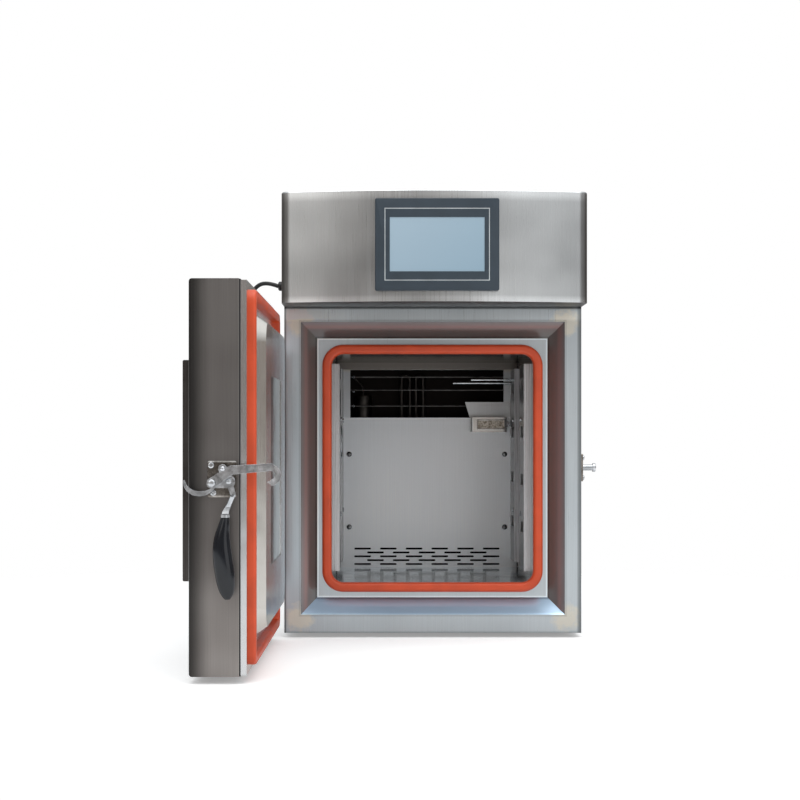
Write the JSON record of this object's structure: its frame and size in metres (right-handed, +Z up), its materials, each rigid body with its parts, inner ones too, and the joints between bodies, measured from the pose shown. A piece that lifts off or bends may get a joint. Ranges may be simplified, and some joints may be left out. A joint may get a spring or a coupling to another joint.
{
  "type": "environmental test chamber",
  "caption": "Benchtop environmental test chamber with a side-hinged insulated door, hook latch, silicone seals and a bowed header with a touch panel.",
  "frame": {"origin": "on the bench, below the middle of the bounding box with the door open", "axes": "+X to the chamber's right, +Y to its back, +Z up"},
  "size_m": [0.6564, 1.216, 0.745],
  "materials": {
    "aluminium_fins": "fins",
    "bezel_plastic": "fine texture",
    "black_metal": "gloss black",
    "black_plastic": "glossy",
    "black_rubber": "soft",
    "brushed_steel_outer": "vertical brushed grain",
    "cable_black": "satin",
    "chrome": "plated",
    "copper": "tube and fins",
    "foam": "rigid foam",
    "pane": "clear",
    "polished_steel": "mirror polished sheet",
    "satin_steel": "satin, welded corners",
    "screen_glass": "back-lit panel",
    "screw_steel": "turned",
    "silicone_grey": "soft",
    "silicone_orange": "satin silicone",
    "zinc": "bare sheet"
  },
  "bodies": {
    "cabinet": {"body_shell": "brushed_steel_outer", "front_frame": "satin_steel", "inner_liner": "polished_steel", "insulation": "foam", "bulkhead": "zinc", "cavity_seal": "silicone_orange", "air_baffle": "satin_steel", "guard_wires": "chrome", "shelf_rail_front_left": "satin_steel", "shelf_rail_rear_left": "satin_steel", "shelf_rail_front_right": "satin_steel", "shelf_rail_rear_right": "satin_steel", "evaporator": "copper", "humidifier_pot": "satin_steel", "circulation_motor": "black_metal", "dry_bulb": "chrome", "wet_bulb": "chrome", "water_cup": "polished_steel", "cup_hood": "satin_steel", "port_sleeve": "chrome", "header_shell": "brushed_steel_outer", "header_base": "brushed_steel_outer", "display_bezel": "bezel_plastic", "display_screen": "screen_glass", "display_case": "black_plastic", "rear_panel": "brushed_steel_outer", "power_inlet": "black_plastic", "drain_spout": "screw_steel", "compressor": "black_metal", "condenser": "aluminium_fins", "condenser_motor": "black_metal", "cabinet_hinge_leaves": "screw_steel", "hinge_pins": "screw_steel", "feet": "black_rubber", "strike_plate": "chrome", "strike_pin": "chrome", "header_gland": "black_plastic", "door_cable": "cable_black"},
    "door": {"door_shell": "brushed_steel_outer", "door_liner": "polished_steel", "door_insulation": "foam", "door_seal": "silicone_orange", "window_tunnel": "satin_steel", "window_frame": "brushed_steel_outer", "outer_pane": "pane", "inner_pane": "pane", "door_hinge_leaves": "screw_steel", "door_gland": "black_plastic", "latch_plate": "chrome", "latch_bolt": "chrome"},
    "latch_handle": {"latch_lever": "chrome", "latch_grip": "black_plastic", "hook_rivet": "chrome"},
    "latch_hook": {"latch_hook": "chrome"},
    "circulation_fan": {"circulation_wheel": "aluminium_fins"},
    "condenser_fan": {"condenser_fan": "black_plastic"},
    "port_stopper": {"port_stopper": "silicone_grey"},
    "mains_rocker": {"mains_rocker": "black_plastic"}
  },
  "joints": [
    {"name": "door_swing", "type": "hinge", "parent": "cabinet", "child": "door", "pos_m": [-0.21579, -0.06395, 0.285], "axis": [0, 0, 1], "range_deg": [-25, 90.5], "deforming": ["door_cable"]},
    {"name": "latch_lever_turn", "type": "hinge", "parent": "door", "child": "latch_handle", "pos_m": [-0.24847, -0.58839, 0.28], "axis": [0.0087, 1, 0], "range_deg": [0, 90]},
    {"name": "latch_hook_lift", "type": "hinge", "parent": "latch_handle", "child": "latch_hook", "pos_m": [-0.27132, -0.59429, 0.2778], "axis": [-0.0087, -1, 0], "range_deg": [0, 90]},
    {"name": "circulation_fan_spin", "type": "hinge", "parent": "cabinet", "child": "circulation_fan", "pos_m": [0.12371, 0.34404, 0.29], "axis": [0, 1, 0], "continuous": true},
    {"name": "condenser_fan_spin", "type": "hinge", "parent": "cabinet", "child": "condenser_fan", "pos_m": [0.17871, 0.50404, 0.14], "axis": [0, 1, 0], "continuous": true},
    {"name": "port_stopper_pull", "type": "slide", "parent": "cabinet", "child": "port_stopper", "axis": [-1, 0, 0], "range_m": [0, 0.08]},
    {"name": "mains_rocker_tilt", "type": "hinge", "parent": "cabinet", "child": "mains_rocker", "pos_m": [-0.12629, 0.58005, 0.4955], "axis": [1, 0, 0], "range_deg": [-8, 8]}
  ]
}
